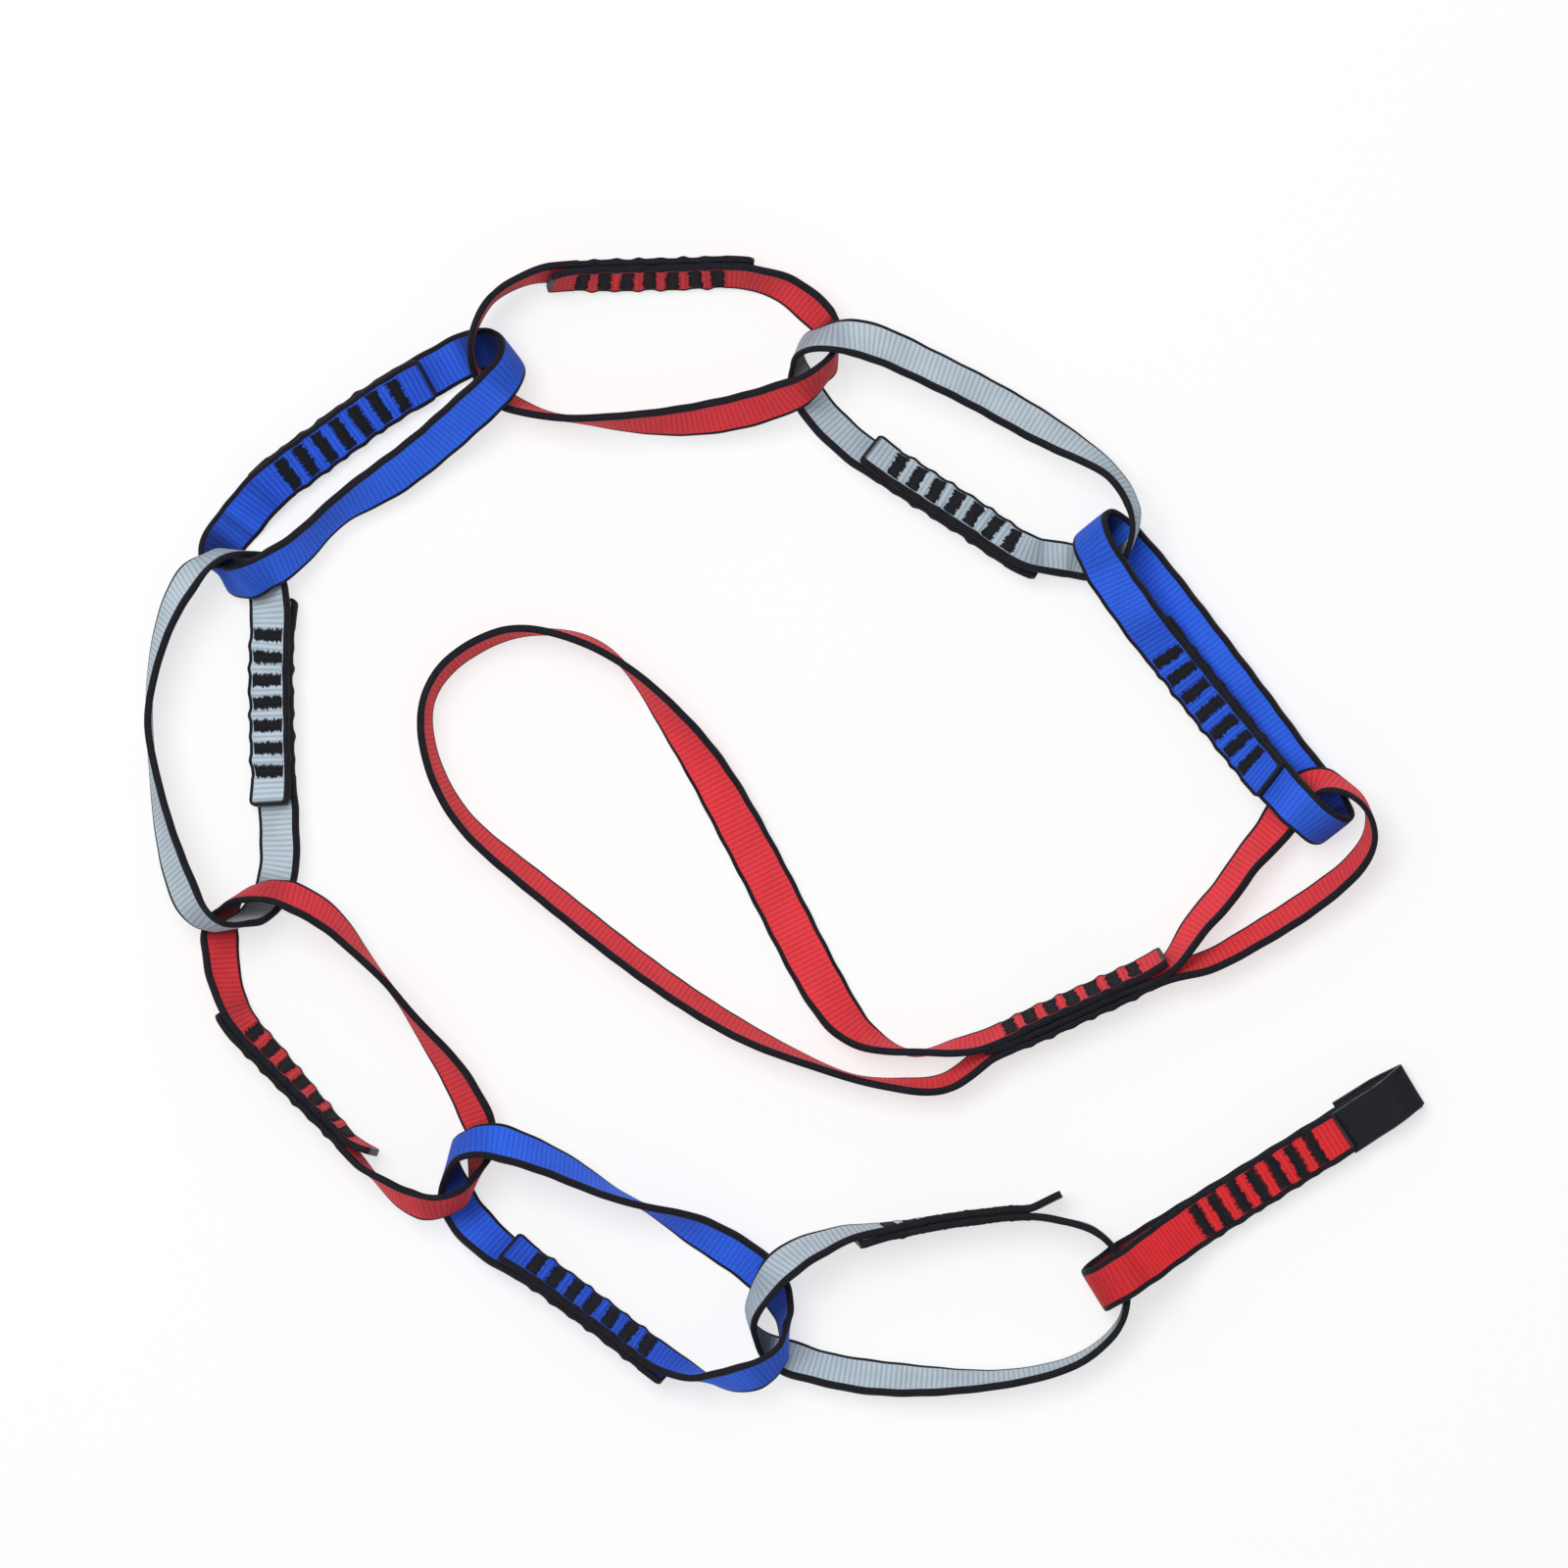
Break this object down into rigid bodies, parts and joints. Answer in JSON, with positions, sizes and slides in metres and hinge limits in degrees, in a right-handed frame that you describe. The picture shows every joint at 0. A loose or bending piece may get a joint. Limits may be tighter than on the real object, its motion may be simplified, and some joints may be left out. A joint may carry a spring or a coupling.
{
  "type": "climbing daisy chain",
  "caption": "Daisy chain of separate sewn webbing loops that pass through one another, with a larger tie-in sling at one end, laid in a spiral.",
  "frame": {"origin": "centre of the bounding box, at the floor the chain lies on", "axes": "+X to the right of the picture, along the spiral's longer side; +Y up in the picture; +Z up from the floor, towards the viewer"},
  "size_m": [0.4358, 0.387, 0.0306],
  "materials": {
    "red_webbing": "woven, ribbed across, black selvedges",
    "blue_webbing": "woven, ribbed across, black selvedges",
    "grey_webbing": "woven, ribbed across, black selvedges",
    "black_thread": "zig-zag sewn bar tacks",
    "label": "flat woven label, bare"
  },
  "bodies": {
    "tie_in_sling": {"tie_in_sling_webbing": "red_webbing", "tie_in_sling_needle_thread": "black_thread", "tie_in_sling_bobbin_thread": "black_thread"},
    "link_1": {"link_1_webbing": "blue_webbing", "link_1_needle_thread": "black_thread", "link_1_bobbin_thread": "black_thread"},
    "link_2": {"link_2_webbing": "grey_webbing", "link_2_needle_thread": "black_thread", "link_2_bobbin_thread": "black_thread"},
    "link_3": {"link_3_webbing": "red_webbing", "link_3_needle_thread": "black_thread", "link_3_bobbin_thread": "black_thread"},
    "link_4": {"link_4_webbing": "blue_webbing", "link_4_needle_thread": "black_thread", "link_4_bobbin_thread": "black_thread"},
    "link_5": {"link_5_webbing": "grey_webbing", "link_5_needle_thread": "black_thread", "link_5_bobbin_thread": "black_thread"},
    "link_6": {"link_6_webbing": "red_webbing", "link_6_needle_thread": "black_thread", "link_6_bobbin_thread": "black_thread"},
    "link_7": {"link_7_webbing": "blue_webbing", "link_7_needle_thread": "black_thread", "link_7_bobbin_thread": "black_thread"},
    "link_8": {"link_8_webbing": "grey_webbing", "link_8_needle_thread": "black_thread", "link_8_bobbin_thread": "black_thread"},
    "end_link": {"end_link_webbing": "red_webbing", "end_link_needle_thread": "black_thread", "end_link_bobbin_thread": "black_thread", "end_label": "label", "label_stitching": "black_thread"}
  },
  "joints": [
    {"name": "link_1_swing", "type": "hinge", "parent": "tie_in_sling", "child": "link_1", "pos_m": [0.17731, 0.00933, 0.008], "axis": [0, 0, 1], "range_deg": [-14, 10]},
    {"name": "link_2_swing", "type": "hinge", "parent": "link_1", "child": "link_2", "pos_m": [0.10885, 0.09448, 0.008], "axis": [0, 0, -1], "range_deg": [-14, 12]},
    {"name": "link_3_swing", "type": "hinge", "parent": "link_2", "child": "link_3", "pos_m": [0.009, 0.15712, 0.008], "axis": [0, 0, 1], "range_deg": [-20, 4]},
    {"name": "link_4_swing", "type": "hinge", "parent": "link_3", "child": "link_4", "pos_m": [-0.10022, 0.15445, 0.008], "axis": [0, 0, -1], "range_deg": [-4, 20]},
    {"name": "link_5_swing", "type": "hinge", "parent": "link_4", "child": "link_5", "pos_m": [-0.18575, 0.08834, 0.008], "axis": [0, 0, 1], "range_deg": [-20, 4]},
    {"name": "link_6_swing", "type": "hinge", "parent": "link_5", "child": "link_6", "pos_m": [-0.18352, -0.02779, 0.008], "axis": [0, 0, -1], "range_deg": [-8, 20]},
    {"name": "link_7_swing", "type": "hinge", "parent": "link_6", "child": "link_7", "pos_m": [-0.11006, -0.11627, 0.008], "axis": [0, 0, 1], "range_deg": [-20, 8]},
    {"name": "link_8_swing", "type": "hinge", "parent": "link_7", "child": "link_8", "pos_m": [-0.00366, -0.16566, 0.008], "axis": [0, 0, -1], "range_deg": [-6, 20]},
    {"name": "end_link_swing", "type": "hinge", "parent": "link_8", "child": "end_link", "pos_m": [0.10936, -0.15198, 0.008], "axis": [0, 0, 1], "range_deg": [-20, 8]}
  ]
}
